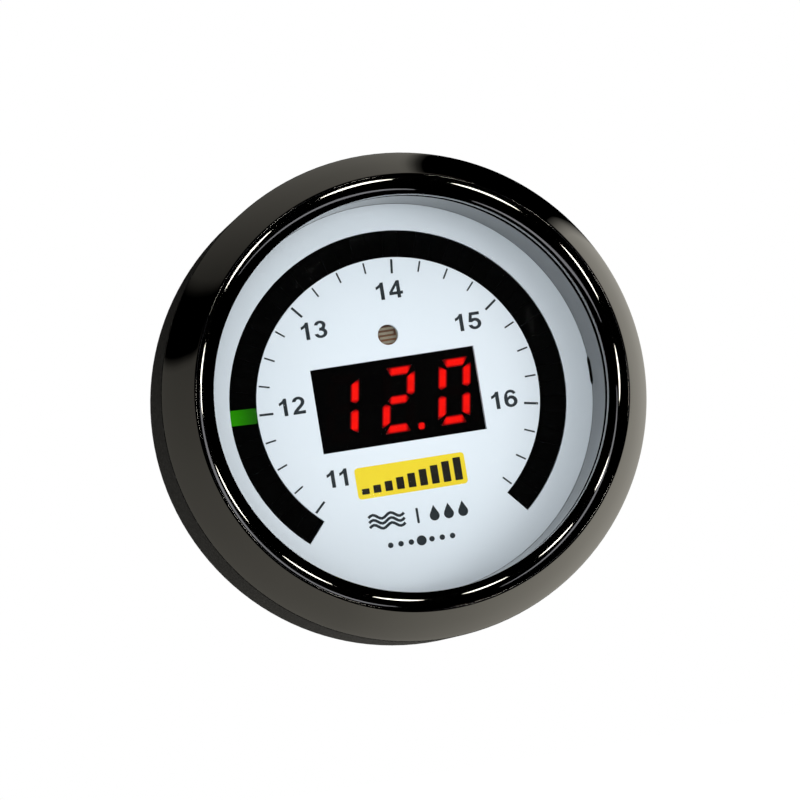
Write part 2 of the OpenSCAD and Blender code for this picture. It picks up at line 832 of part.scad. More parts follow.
module power_socket() {
    color([0.06, 0.06, 0.06]) stand() socket(power_x, power_columns, power_w);
}

module power_pins() {
    color([0.8, 0.68, 0.35]) stand() socket_pins(power_x, power_columns);
}

module sensor_socket() {
    color([0.06, 0.06, 0.06]) stand() socket(sensor_x, sensor_columns, sensor_w);
}

module sensor_pins() {
    color([0.8, 0.68, 0.35]) stand() socket_pins(sensor_x, sensor_columns);
}

module selector_body() {
    color([0.1, 0.13, 0.3]) stand() translate([selector_at[0], selector_at[1], 0]) difference() {
        box_at([0, 0], selector_z, selector_w, selector_w, board_rear - selector_z);
        small_rod(rotor_d + 2 * rotor_gap, selector_z - cut, rotor_h + rotor_gap + cut);
    }
}

module selector_rotor() {
    color([0.85, 0.83, 0.75]) stand() translate([selector_at[0], selector_at[1], 0]) difference() {
        small_rod(rotor_d, selector_z, rotor_h);
        box_at([0, 0], selector_z - cut, rotor_slot_w, rotor_d - 2 * rotor_slot_w, rotor_slot_depth + cut);
        translate([0, rotor_d / 2 - rotor_slot_w, 0])
            small_rod(rotor_key_d, selector_z - cut, rotor_slot_depth + cut);
    }
}

module rear_studs() {
    r = stud_d / 2;
    low = rear_z - stud_len;
    color([0.75, 0.75, 0.74]) stand() for (side = [-1, 1]) translate([side * stud_span / 2, 0, 0])
        rotate_extrude($fn = small_fn) polygon([
            [0, low], [r - stud_chamfer, low], [r, low + stud_chamfer], [r, rear_z],
            [stud_collar_r, rear_z], [stud_collar_r, floor_z],
            [stud_head_r, floor_z], [stud_head_r, floor_z + stud_head_h], [0, floor_z + stud_head_h]
        ]);
}

housing();
bezel();
lens();
lens_seal();
faceplate();
light_mask();
bar_diffusers();
bar_diffuser_lit();
display_body();
display_segments_lit();
display_segments_dark();
display_pins();
light_sensor();
light_sensor_track();
light_sensor_leads();
main_board();
bar_leds();
bar_resistors();
microcontroller();
driver_chips();
chip_leads();
regulator();
transistors();
capacitors();
inductor();
crystal();
board_screws();
power_socket();
power_pins();
sensor_socket();
sensor_pins();
selector_body();
selector_rotor();
rear_studs();
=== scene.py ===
import math

import bpy
from mathutils import Matrix, Vector


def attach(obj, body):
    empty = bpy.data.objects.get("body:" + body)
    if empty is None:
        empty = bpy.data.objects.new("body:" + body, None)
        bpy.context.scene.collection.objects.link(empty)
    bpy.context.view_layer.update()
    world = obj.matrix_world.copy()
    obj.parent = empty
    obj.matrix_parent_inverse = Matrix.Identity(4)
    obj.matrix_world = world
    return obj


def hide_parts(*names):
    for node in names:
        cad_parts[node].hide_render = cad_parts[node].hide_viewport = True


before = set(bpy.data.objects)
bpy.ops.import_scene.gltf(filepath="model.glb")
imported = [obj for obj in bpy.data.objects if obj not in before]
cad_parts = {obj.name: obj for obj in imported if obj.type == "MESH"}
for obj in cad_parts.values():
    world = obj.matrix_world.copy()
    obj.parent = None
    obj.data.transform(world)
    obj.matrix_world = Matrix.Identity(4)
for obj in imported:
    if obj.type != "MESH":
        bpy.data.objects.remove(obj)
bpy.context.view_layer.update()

bpy.ops.object.select_all(action="DESELECT")
bpy.context.scene.view_settings.view_transform = "Standard"
mm = 0.001

# the dial in its own plane: x to the right, z up, height towards the driver
dial = {"face": 7.5, "firstAngle": -134.6, "sweep": 270, "bars": 24, "litBar": 5, "markHeight": 0.03}


def toModel(x, z, height):
    return Vector((x * mm, -height * mm, z * mm))


camera = {"distance": 700, "tilt": 9.5216, "direction": 27.954, "spin": 71.096,
          "centre": (398.664, 399.770), "pixelsPerMm": 8.1211, "frame": 800, "sensor": 36,
          "clip": (0.01, 20)}


def placeCamera(look):
    tilt, direction, spin = (math.radians(look[k]) for k in ("tilt", "direction", "spin"))
    front = Vector((math.cos(direction) * math.sin(tilt), math.sin(direction) * math.sin(tilt),
                    math.cos(tilt)))
    across = Vector((math.cos(direction) * math.cos(tilt), math.sin(direction) * math.cos(tilt),
                     -math.sin(tilt)))
    along = Vector((-math.sin(direction), math.cos(direction), 0))
    up = math.cos(spin) * across + math.sin(spin) * along
    right = math.sin(spin) * across - math.cos(spin) * along

    def inModel(v):
        return Vector((v.dot(right), -v.dot(front), v.dot(up)))

    half = look["frame"] / 2
    offX = (look["centre"][0] - half) / look["pixelsPerMm"]
    offY = -(look["centre"][1] - half) / look["pixelsPerMm"]
    dialCentre = toModel(0, 0, dial["face"])
    data = bpy.data.cameras.new("photoCamera")
    data.sensor_width = look["sensor"]
    data.lens = look["pixelsPerMm"] * look["distance"] * look["sensor"] / look["frame"]
    data.clip_start, data.clip_end = look["clip"]
    cam = bpy.data.objects.new("photoCamera", data)
    bpy.context.scene.collection.objects.link(cam)
    axes = [inModel(Vector(a)) for a in ((1, 0, 0), (0, 1, 0), (0, 0, 1))]
    turn = Matrix((axes[0], axes[1], axes[2])).transposed().to_4x4()
    place = dialCentre + inModel(Vector((-offX, -offY, look["distance"]))) * mm
    cam.matrix_world = Matrix.Translation(place) @ turn
    bpy.context.scene.camera = cam


placeCamera(camera)
print("camera placed")


def settle(piece, body, replaced=()):
    bpy.ops.object.select_all(action="DESELECT")
    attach(piece, body)
    if replaced:
        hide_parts(*replaced)


def roundedOutline(corners, steps=8):
    points = []
    for i, (r, h, radius) in enumerate(corners):
        here = Vector((r, h))
        if radius == 0:
            points.append(here)
            continue
        before = Vector(corners[i - 1][:2])
        after = Vector(corners[(i + 1) % len(corners)][:2])
        u, w = (before - here).normalized(), (after - here).normalized()
        half = u.angle(w) / 2
        middle = here + (u + w).normalized() * radius / math.sin(half)
        start = here + u * radius / math.tan(half) - middle
        end = here + w * radius / math.tan(half) - middle
        first = math.atan2(start.y, start.x)
        turn = (math.atan2(end.y, end.x) - first + 3 * math.pi) % (2 * math.pi) - math.pi
        for k in range(steps + 1):
            a = first + turn * k / steps
            points.append(middle + Vector((math.cos(a), math.sin(a))) * radius)
    return points


# distances below which vertices merge, and the angle up to which a shape is shaded smooth
meshing = {"merge": 1e-7, "seamMerge": 2e-7, "smoothAngle": 35, "startSize": 0.001, "latheSteps": 192}


def startVertex(name, place):
    bpy.ops.mesh.primitive_plane_add(size=meshing["startSize"], location=place)
    piece = bpy.context.object
    piece.name = piece.data.name = name
    bpy.ops.object.transform_apply(location=True)
    bpy.ops.object.mode_set(mode="EDIT")
    bpy.ops.mesh.select_all(action="SELECT")
    bpy.ops.mesh.merge(type="CENTER")
    return piece


def mergeAll(distance):
    bpy.ops.mesh.select_all(action="SELECT")
    bpy.ops.mesh.remove_doubles(threshold=distance)


def drawProfile(name, points, closed=True):
    piece = startVertex(name, points[0])
    for a, b in zip(points, points[1:] + ([points[0]] if closed else [])):
        bpy.ops.mesh.extrude_region_move(TRANSFORM_OT_translate={"value": b - a})
    mergeAll(meshing["merge"])
    return piece


def finishShape():
    bpy.ops.mesh.select_all(action="SELECT")
    bpy.ops.mesh.normals_make_consistent(inside=False)
    bpy.ops.object.mode_set(mode="OBJECT")
    bpy.ops.object.shade_smooth_by_angle(angle=math.radians(meshing["smoothAngle"]))


def lathe(name, outline, steps=meshing["latheSteps"], centre=(0, 0, 0), closed=True):
    points = [toModel(p[0], 0, p[1]) + Vector(centre) for p in outline]
    piece = drawProfile(name, points, closed)
    bpy.ops.mesh.spin(steps=steps, angle=2 * math.pi, center=centre, axis=(0, 1, 0))
    mergeAll(meshing["seamMerge"])
    finishShape()
    return piece


def flatShape(name, outlines, height, thickness, place=(0, 0), scale=(1, 1), turn=0):
    data = bpy.data.curves.new(name, "CURVE")
    data.dimensions = "2D"
    data.fill_mode = "BOTH"
    data.extrude = thickness * mm / 2
    for outline in outlines:
        spline = data.splines.new("POLY")
        spline.points.add(len(outline) - 1)
        for point, (x, y) in zip(spline.points, outline):
            point.co = (x * scale[0] * mm, y * scale[1] * mm, 0, 1)
        spline.use_cyclic_u = True
    piece = bpy.data.objects.new(name, data)
    bpy.context.scene.collection.objects.link(piece)
    bpy.ops.object.select_all(action="DESELECT")
    piece.select_set(True)
    bpy.context.view_layer.objects.active = piece
    bpy.ops.object.convert(target="MESH")
    piece = bpy.context.object
    upright = Matrix.Rotation(math.radians(90), 4, "X")
    spin = Matrix.Rotation(math.radians(turn), 4, "Y")
    move = Matrix.Translation(toModel(place[0], place[1], height + thickness / 2))
    piece.matrix_world = move @ spin @ upright
    bpy.ops.object.transform_apply(location=True, rotation=True, scale=True)
    return piece


def joinPieces(name, pieces, material):
    bpy.ops.object.select_all(action="DESELECT")
    for piece in pieces:
        piece.select_set(True)
    bpy.context.view_layer.objects.active = pieces[0]
    if len(pieces) > 1:
        bpy.ops.object.join()
    piece = bpy.context.object
    piece.name = piece.data.name = name
    piece.data.materials.clear()
    piece.data.materials.append(material)
    return piece


def strokeOutline(points, width):
    left, right = [], []
    for i, p in enumerate(points):
        before, after = Vector(points[max(i - 1, 0)]), Vector(points[min(i + 1, len(points) - 1)])
        along = (after - before).normalized()
        side = Vector((-along.y, along.x)) * width / 2
        left.append(Vector(p) + side)
        right.append(Vector(p) - side)
    return left + right[::-1]


def arc(cx, cy, rx, ry, start, end, steps=14):
    angles = [math.radians(start + (end - start) * i / steps) for i in range(steps + 1)]
    return [(cx + rx * math.cos(a), cy + ry * math.sin(a)) for a in angles]


def roundedBox(x0, x1, z0, z1, r, steps=4):
    return roundedOutline([(x0, z0, r), (x1, z0, r), (x1, z1, r), (x0, z1, r)], steps)


def ringOutline(cx, cy, radius, parts=24):
    return arc(cx, cy, radius, radius, 0, 360 - 360 / parts, parts - 1)


def threadRidge(name, thread, low, footR, tipR):
    foot, tip = thread["pitch"] * thread["footShare"] / 2, thread["pitch"] * thread["tipShare"] / 2
    section = [(footR, -foot), (tipR, -tip), (tipR, tip), (footR, foot)]
    piece = drawProfile(name, [toModel(r, 0, low + h) for r, h in section])
    bpy.ops.object.mode_set(mode="OBJECT")
    screw = piece.modifiers.new("thread", "SCREW")
    screw.axis = "Y"
    screw.angle = -2 * math.pi
    screw.screw_offset = -thread["pitch"] * mm
    screw.iterations = thread["turns"]
    screw.steps = screw.render_steps = thread["steps"]
    bpy.ops.object.modifier_apply(modifier="thread")
    bpy.ops.object.mode_set(mode="EDIT")
    mergeAll(meshing["merge"])
    bpy.ops.mesh.fill_holes(sides=len(section))
    finishShape()
    return piece


# shader helpers
def setInputs(node, values):
    for label, value in values.items():
        node.inputs[label].default_value = value


def mapRange(nodes, links, value, fromLow, fromHigh, toLow, toHigh, smooth=False):
    node = nodes.new("ShaderNodeMapRange")
    node.interpolation_type = "SMOOTHSTEP" if smooth else "LINEAR"
    setInputs(node, {"From Min": fromLow, "From Max": fromHigh, "To Min": toLow, "To Max": toHigh})
    links.new(value, node.inputs["Value"])
    return node.outputs["Result"]


# the grain that the materials share is a node group
grainShape = {"scales": (("Blotch Scale", 80.0), ("Grain Scale", 2500.0), ("Speck Scale", 1500.0)),
              "details": (("Blotch", 3.0), ("Grain", 4.0)), "spread": (0.3, 0.7), "speckEdge": (0.32, 0.12)}


def buildGrainGroup(look):
    group = bpy.data.node_groups.new("surfaceGrain", "ShaderNodeTree")
    for label, value in look["scales"]:
        socket = group.interface.new_socket(label, in_out="INPUT", socket_type="NodeSocketFloat")
        socket.default_value = value
    for label in ("Blotch", "Grain", "Specks"):
        group.interface.new_socket(label, in_out="OUTPUT", socket_type="NodeSocketFloat")
    nodes, links = group.nodes, group.links
    entry, leave = nodes.new("NodeGroupInput"), nodes.new("NodeGroupOutput")
    place = nodes.new("ShaderNodeTexCoord")
    for label, detail in look["details"]:
        noise = nodes.new("ShaderNodeTexNoise")
        noise.inputs["Detail"].default_value = detail
        links.new(place.outputs["Object"], noise.inputs["Vector"])
        links.new(entry.outputs[label + " Scale"], noise.inputs["Scale"])
        links.new(mapRange(nodes, links, noise.outputs["Fac"], *look["spread"], 0, 1), leave.inputs[label])
    cells = nodes.new("ShaderNodeTexVoronoi")
    links.new(place.outputs["Object"], cells.inputs["Vector"])
    links.new(entry.outputs["Speck Scale"], cells.inputs["Scale"])
    dots = mapRange(nodes, links, cells.outputs["Distance"], *look["speckEdge"], 0, 1)
    links.new(dots, leave.inputs["Specks"])
    return group


grainGroup = buildGrainGroup(grainShape)


def startMaterial(name):
    material = bpy.data.materials.new(name)
    material.use_nodes = True
    tree = material.node_tree
    return material, tree.nodes, tree.links, tree.nodes["Principled BSDF"]


def mixColours(nodes, links, factor, first, second):
    mix = nodes.new("ShaderNodeMix")
    mix.data_type = "RGBA"
    for label, value in (("Factor", factor), ("A", first), ("B", second)):
        socket = mix.inputs[label]
        if hasattr(value, "links"):
            links.new(value, socket)
        elif isinstance(value, (tuple, list)):
            socket.default_value = (*value, 1)
        else:
            socket.default_value = value
    return mix.outputs["Result"]


def mathNode(nodes, links, operation, first, second=0.0, clamp=False):
    node = nodes.new("ShaderNodeMath")
    node.operation = operation
    node.use_clamp = clamp
    for socket, value in zip(node.inputs, (first, second)):
        if hasattr(value, "links"):
            links.new(value, socket)
        else:
            socket.default_value = value
    return node.outputs["Value"]


def addGrain(nodes, look):
    grain = nodes.new("ShaderNodeGroup")
    grain.node_tree = grainGroup
    for label, key in (("Blotch Scale", "blotch"), ("Grain Scale", "grain"), ("Speck Scale", "speck")):
        if key in look:
            grain.inputs[label].default_value = look[key]
    return grain.outputs


def objectAxes(nodes, links):
    place = nodes.new("ShaderNodeTexCoord")
    apart = nodes.new("ShaderNodeSeparateXYZ")
    links.new(place.outputs["Object"], apart.inputs["Vector"])
    return apart.outputs


def addBump(nodes, links, shader, height, strength, distance):
    bump = nodes.new("ShaderNodeBump")
    setInputs(bump, {"Strength": strength, "Distance": distance})
    links.new(height, bump.inputs["Height"])
    links.new(bump.outputs["Normal"], shader.inputs["Normal"])


def colourRamp(nodes, links, factor, stops):
    ramp = nodes.new("ShaderNodeValToRGB")
    elements, last = ramp.color_ramp.elements, len(stops) - 1
    for i, (position, colour) in enumerate(stops):
        stop = elements[0] if i == 0 else elements[-1] if i == last else elements.new(position)
        stop.position = position
        stop.color = (*colour, 1)
    links.new(factor, ramp.inputs["Fac"])
    return ramp.outputs["Color"]


plainFinish = {"grainShare": 0.3, "bumpStrength": 0.5, "metallic": 0.0, "specular": 0.5, "coat": 0.0,
               "coatRough": 0.1}


def grainedMaterial(name, finish):
    look = {**plainFinish, **finish}
    material, nodes, links, shader = startMaterial(name)
    grain = addGrain(nodes, look)
    tone = mixColours(nodes, links, grain["Blotch"], look["colour"], look["second"])
    fleck = mathNode(nodes, links, "MULTIPLY", grain["Grain"], look["grainShare"])
    tone = mixColours(nodes, links, fleck, tone, look.get("fleck", look["second"]))
    if "speckShare" in look:
        specks = mathNode(nodes, links, "MULTIPLY", grain["Specks"], look["speckShare"])
        tone = mixColours(nodes, links, specks, tone, look["speckColour"])
    links.new(tone, shader.inputs["Base Color"])
    links.new(mapRange(nodes, links, grain["Grain"], 0, 1, *look["rough"]), shader.inputs["Roughness"])
    addBump(nodes, links, shader, grain["Grain"], look["bumpStrength"], look["bump"])
    setInputs(shader, {"Metallic": look["metallic"], "Specular IOR Level": look["specular"],
                       "Coat Weight": look["coat"], "Coat Roughness": look["coatRough"]})
    return material


def paint(nodeName, material):
    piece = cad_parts[nodeName]
    piece.data.materials.clear()
    piece.data.materials.append(material)


finishes = {
    "lens_seal": {"name": "sealRubber", "colour": (0.010, 0.010, 0.010), "second": (0.016, 0.016, 0.016),
                  "grain": 5000, "rough": (0.6, 0.8), "bump": 0.00001},
    "faceplate": {"name": "dialWhite", "colour": (0.765, 0.855, 0.925), "second": (0.79, 0.87, 0.935),
                  "grain": 6000, "grainShare": 0.08, "blotch": 40, "rough": (0.45, 0.55), "specular": 0.3,
                  "bump": 0.000002, "bumpStrength": 0.2},
    "light_mask": {"name": "maskBlack",
                   "colour": (0.0005, 0.0005, 0.0005), "second": (0.0009, 0.0009, 0.0009),
                   "grain": 4500, "rough": (0.6, 0.75), "specular": 0.03, "bump": 0.000004},
    "bar_diffusers": {"name": "smokedBars",
                      "colour": (0.0005, 0.0005, 0.0005), "second": (0.0009, 0.0010, 0.0009),
                      "grain": 2500, "rough": (0.5, 0.6), "specular": 0.03, "bump": 0.000002},
    "display_body": {"name": "displayEpoxy",
                     "colour": (0.0004, 0.0003, 0.0003), "second": (0.0008, 0.0006, 0.0006),
                     "grain": 5200, "rough": (0.5, 0.6), "specular": 0.03, "bump": 0.000004},
    "display_segments_dark": {"name": "segmentDark", "colour": (0.0012, 0.0002, 0.0002),
                              "second": (0.0018, 0.0003, 0.0003), "grain": 4000, "rough": (0.5, 0.6),
                              "specular": 0.03, "bump": 0.000003},
    "display_pins": {"name": "tinnedLead", "colour": (0.62, 0.62, 0.60), "second": (0.50, 0.50, 0.49),
                     "grain": 3000, "rough": (0.25, 0.4), "metallic": 1.0, "bump": 0.000004},
    "light_sensor": {"name": "sensorCeramic", "colour": (0.27, 0.24, 0.17), "second": (0.36, 0.31, 0.22),
                     "grain": 6500, "grainShare": 0.4, "fleck": (0.16, 0.16, 0.12), "blotch": 900,
                     "rough": (0.35, 0.5), "bump": 0.000008},
    "main_board": {"name": "boardGreen", "colour": (0.010, 0.075, 0.032), "second": (0.014, 0.105, 0.045),
                   "grain": 3200, "blotch": 300, "speck": 420, "speckShare": 0.5,
                   "speckColour": (0.42, 0.38, 0.26), "rough": (0.25, 0.4), "coat": 0.4, "bump": 0.000006},
    "bar_leds": {"name": "ledClear", "colour": (0.62, 0.60, 0.42), "second": (0.74, 0.72, 0.56),
                 "grain": 2600, "blotch": 700, "rough": (0.2, 0.35), "coat": 0.5, "bump": 0.000004},
    "bar_resistors": {"name": "chipBlack", "colour": (0.010, 0.010, 0.011), "second": (0.020, 0.020, 0.021),
                      "grain": 5200, "rough": (0.45, 0.6), "bump": 0.000008},
    "capacitors": {"name": "canAluminium", "colour": (0.60, 0.60, 0.62), "second": (0.68, 0.68, 0.70),
                   "grain": 2400, "rough": (0.22, 0.35), "metallic": 1.0, "bump": 0.000004},
    "inductor": {"name": "ferriteGrey", "colour": (0.035, 0.035, 0.038), "second": (0.060, 0.060, 0.064),
                 "grain": 4200, "rough": (0.5, 0.7), "bump": 0.000012},
    "board_screws": {"name": "screwSteel", "colour": (0.50, 0.50, 0.48), "second": (0.38, 0.38, 0.37),
                     "grain": 2600, "rough": (0.25, 0.42), "metallic": 1.0, "bump": 0.000005},
    "power_socket": {"name": "socketNylon", "colour": (0.014, 0.014, 0.015), "second": (0.024, 0.024, 0.025),
                     "grain": 3000, "blotch": 220, "rough": (0.35, 0.5), "bump": 0.00001},
    "power_pins": {"name": "terminalBrass", "colour": (0.64, 0.50, 0.22), "second": (0.50, 0.37, 0.15),
                   "grain": 2200, "blotch": 500, "rough": (0.2, 0.38), "metallic": 1.0, "bump": 0.000004},
    "selector_body": {"name": "selectorBlue", "colour": (0.018, 0.045, 0.20), "second": (0.026, 0.060, 0.26),
                      "grain": 3400, "blotch": 350, "rough": (0.3, 0.45), "bump": 0.000008},
    "selector_rotor": {"name": "rotorIvory", "colour": (0.66, 0.60, 0.46), "second": (0.58, 0.52, 0.39),
                       "grain": 3400, "blotch": 500, "rough": (0.35, 0.5), "bump": 0.000008},
}
sameFinish = {
    "light_sensor_leads": "display_pins", "chip_leads": "display_pins", "crystal": "capacitors",
    "microcontroller": "bar_resistors", "driver_chips": "bar_resistors", "regulator": "bar_resistors",
    "transistors": "bar_resistors", "sensor_socket": "power_socket", "sensor_pins": "power_pins",
}
materials = {}
for nodeName, look in finishes.items():
    materials[nodeName] = grainedMaterial(look["name"], look)
    paint(nodeName, materials[nodeName])
for nodeName, other in sameFinish.items():
    paint(nodeName, materials[other])
print("materials on", len(finishes) + len(sameFinish), "CAD nodes")


def ringRadius(nodes, links, axes):
    squares = [mathNode(nodes, links, "MULTIPLY", axes[a], axes[a]) for a in ("X", "Z")]
    return mathNode(nodes, links, "SQRT", mathNode(nodes, links, "ADD", *squares))


# housing: spark textured black outside, and a polished bore that mirrors the dial
housing = {"black": (0.0012, 0.0011, 0.0009), "second": (0.0024, 0.0022, 0.0018),
           "fleck": (0.036, 0.034, 0.029), "polished": (0.004, 0.004, 0.004), "boreWithin": 25.0,
           "boreBehind": 1.0, "grain": 3400, "blotch": 240, "speck": 1300, "speckShare": 0.55,
           "rough": (0.55, 0.8), "boreRough": 0.10, "bump": 0.00006, "bumpStrength": 0.7}


def housingMaterial(look):
    material, nodes, links, shader = startMaterial("sparkTexturedBlack")
    grain, axes = addGrain(nodes, look), objectAxes(nodes, links)
    near = mathNode(nodes, links, "LESS_THAN", ringRadius(nodes, links, axes), look["boreWithin"] * mm)
    front = mathNode(nodes, links, "LESS_THAN", axes["Y"], -look["boreBehind"] * mm)
    bore = mathNode(nodes, links, "MULTIPLY", near, front)
    outside = mathNode(nodes, links, "SUBTRACT", 1.0, bore)
    tone = mixColours(nodes, links, grain["Blotch"], look["black"], look["second"])
    fleck = mathNode(nodes, links, "MULTIPLY", grain["Specks"], look["speckShare"])
    tone = mixColours(nodes, links, fleck, tone, look["fleck"])
    links.new(mixColours(nodes, links, bore, tone, look["polished"]), shader.inputs["Base Color"])
    rough = mapRange(nodes, links, grain["Grain"], 0, 1, *look["rough"])
    textured = mathNode(nodes, links, "MULTIPLY", rough, outside)
    gloss = mathNode(nodes, links, "MULTIPLY", bore, look["boreRough"])
    links.new(mathNode(nodes, links, "ADD", textured, gloss), shader.inputs["Roughness"])
    height = mathNode(nodes, links, "MULTIPLY", grain["Grain"], outside)
    addBump(nodes, links, shader, height, look["bumpStrength"], look["bump"])
    return material


paint("housing", housingMaterial(housing))


# black chrome: a dark mirror whose polish varies, with fine hairlines round the ring, and painted shade
# inside the lip, where the inner face takes a near-black colour
chrome = {"colour": (0.232, 0.227, 0.212), "second": (0.206, 0.201, 0.188), "rough": (0.018, 0.035),
          "blotch": 35, "hairlines": 900, "hairStrength": 0.002, "hairDepth": 0.00002, "shadeWithin": 24.36,
          "paint": (0.010, 0.009, 0.009)}


def chromeMaterial(look):
    material, nodes, links, shader = startMaterial("blackChrome")
    grain, axes = addGrain(nodes, look), objectAxes(nodes, links)
    tone = mixColours(nodes, links, grain["Blotch"], look["colour"], look["second"])
    links.new(mapRange(nodes, links, grain["Grain"], 0, 1, *look["rough"]), shader.inputs["Roughness"])
    shader.inputs["Metallic"].default_value = 1.0
    radius = ringRadius(nodes, links, axes)
    # painted shade: inside this radius the lip's inner face is coloured near-black in place of the chrome's
    # tone
    paintedShade = mathNode(nodes, links, "LESS_THAN", radius, look["shadeWithin"] * mm)
    links.new(mixColours(nodes, links, paintedShade, tone, look["paint"]), shader.inputs["Base Color"])
    rings = nodes.new("ShaderNodeTexNoise")
    rings.noise_dimensions = "1D"
    rings.inputs["Scale"].default_value = look["hairlines"]
    links.new(mathNode(nodes, links, "SUBTRACT", radius, axes["Y"]), rings.inputs["W"])
    addBump(nodes, links, shader, rings.outputs["Fac"], look["hairStrength"], look["hairDepth"])
    return material


bezel = {"skirtInner": 27.35, "skirtOuter": 28.75, "skirtLow": 10.8, "seat": 13.25, "outer": 30.0,
         "crest": (26.6, 19.95), "lip": (24.2, 19.1), "lipLow": 17.5, "bore": 26.1, "step": 16.0,
         "coneSwell": 0.18, "coneParts": 6, "lipSwell": 0.05, "lipParts": 8,
         "crestRound": 0.3, "edgeRound": 0.15, "lipRound": 0.35, "skirtRound": 0.1, "roundSteps": 10,
         "steps": 288}
bezelThread = {"pitch": 1.5, "footShare": 0.62, "tipShare": 0.22, "turns": 2, "low": 12.015, "rooted": 0.2,
               "tip": 26.75, "steps": 96}


def swellPoints(a, b, swell, count):
    a, b = Vector(a), Vector(b)
    side = Vector((b.y - a.y, a.x - b.x)).normalized()
    shares = [i / count for i in range(1, count)]
    return [(*(a + (b - a) * t + side * swell * math.sin(math.pi * t)), 0) for t in shares]


def buildBezel():
    edge, crest, lip = (bezel["outer"], bezel["seat"]), bezel["crest"], bezel["lip"]
    corners = [(bezel["skirtInner"], bezel["skirtLow"], 0),
               (bezel["skirtOuter"], bezel["skirtLow"], bezel["skirtRound"]),
               (bezel["skirtOuter"], bezel["seat"], 0), (*edge, bezel["edgeRound"])]
    corners += swellPoints(edge, crest, bezel["coneSwell"], bezel["coneParts"])
    corners.append((*crest, bezel["crestRound"]))
    corners += swellPoints(crest, lip, bezel["lipSwell"], bezel["lipParts"])
    corners += [(*lip, bezel["lipRound"]), (lip[0], bezel["lipLow"], bezel["lipRound"]),
                (bezel["bore"], bezel["lipLow"], 0), (bezel["bore"], bezel["step"], 0),
                (bezel["skirtInner"], bezel["step"], 0)]
    ring = lathe("bezelRing", roundedOutline(corners, bezel["roundSteps"]), bezel["steps"])
    ridge = threadRidge("bezelThread", bezelThread, bezelThread["low"],
                        bezel["skirtInner"] + bezelThread["rooted"], bezelThread["tip"])
    piece = joinPieces("bezelRing", [ring, ridge], chromeMaterial(chrome))
    settle(piece, "bezel", ["bezel"])


buildBezel()
print("bezel turned")


# the lens: clear, with a faint share of gloss that varies
lens = {"radius": 25.9, "low": 15.95, "high": 17.45, "bevel": 0.2, "bevelSteps": 3, "blotch": 60,
        "colour": (0.020, 0.024, 0.028), "second": (0.014, 0.017, 0.020), "alpha": (0.008, 0.014),
        "rough": 0.02, "ior": 1.49}


def buildLens():
    outline = roundedOutline([(0, lens["low"], 0), (lens["radius"], lens["low"], lens["bevel"]),
                              (lens["radius"], lens["high"], lens["bevel"]), (0, lens["high"], 0)],
                             lens["bevelSteps"])
    piece = lathe("clearLens", outline, closed=False)
    material, nodes, links, shader = startMaterial("lensClear")
    blotch = addGrain(nodes, lens)["Blotch"]
    tone = mixColours(nodes, links, blotch, lens["colour"], lens["second"])
    links.new(tone, shader.inputs["Base Color"])
    links.new(mapRange(nodes, links, blotch, 0, 1, *lens["alpha"]), shader.inputs["Alpha"])
    setInputs(shader, {"Roughness": lens["rough"], "IOR": lens["ior"]})
    piece.data.materials.append(material)
    settle(piece, "lens_pack", ["lens"])


buildLens()
print("lens made")


# two threaded studs, each a core with a rolled thread, a collar and a head
studs = {"apart": 36, "radius": 2.0, "core": 1.68, "tip": -19.0, "chamfer": 0.5, "rear": -5.0, "floor": -3.2,
         "collar": 2.5, "head": 3.2, "headTop": -2.3, "headRound": 0.15, "plain": 1.2, "runOut": 0.3,
         "roundSteps": 3, "steps": 48}
studThread = {"pitch": 0.7, "footShare": 0.86, "tipShare": 0.16, "turns": 17, "start": 0.5, "rooted": 0.15,
              "steps": 32}


def buildStuds():
    pieces = []
    for side in (-1, 1):
        centre = (side * studs["apart"] / 2 * mm, 0, 0)
        r, low = studs["core"], studs["tip"]
        outline = roundedOutline([
            (0, low, 0), (r - studs["chamfer"] / 2, low, 0), (r, low + studs["chamfer"] / 2, 0),
            (r, studs["rear"] - studs["plain"], 0),
            (studs["radius"], studs["rear"] - studs["plain"] + studs["runOut"], 0),
            (studs["radius"], studs["rear"], 0), (studs["collar"], studs["rear"], 0),
            (studs["collar"], studs["floor"], 0), (studs["head"], studs["floor"], 0),
            (studs["head"], studs["headTop"], studs["headRound"]), (0, studs["headTop"], 0)],
            studs["roundSteps"])
        core = lathe("studCore", outline, studs["steps"], centre, closed=False)
        ridge = threadRidge("studRidge", studThread, low + studThread["start"], r - studThread["rooted"],
                            studs["radius"])
        ridge.data.transform(Matrix.Translation(centre))
        pieces += [core, ridge]
    piece = joinPieces("mountingStuds", pieces, materials["board_screws"])
    settle(piece, "root", ["rear_studs"])


buildStuds()
print("studs threaded")


# digits: the lit segments glow in their middles and fade towards their edges
display = {"face": 6.6, "proud": 0.03, "depth": 0.6, "digitX": 0.15, "digitY": 0.08, "pitch": 7.05,
           "width": 4.1, "height": 8.1, "stroke": 1.1, "lean": 10, "corner": 0.16,
           "lit": ("bc", "abdeg", "abcdef"), "pointAt": (2.3, -3.65), "pointSize": 0.93, "cornerSteps": 4}
# where the segments' corners lie, in strokes from a digit's edges or its middle line
mitres = {"flatEnd": 0.36, "outerGap": 0.65, "innerGap": 1.32, "waist": 0.62, "tip": 0.3, "shoulder": 1.1}


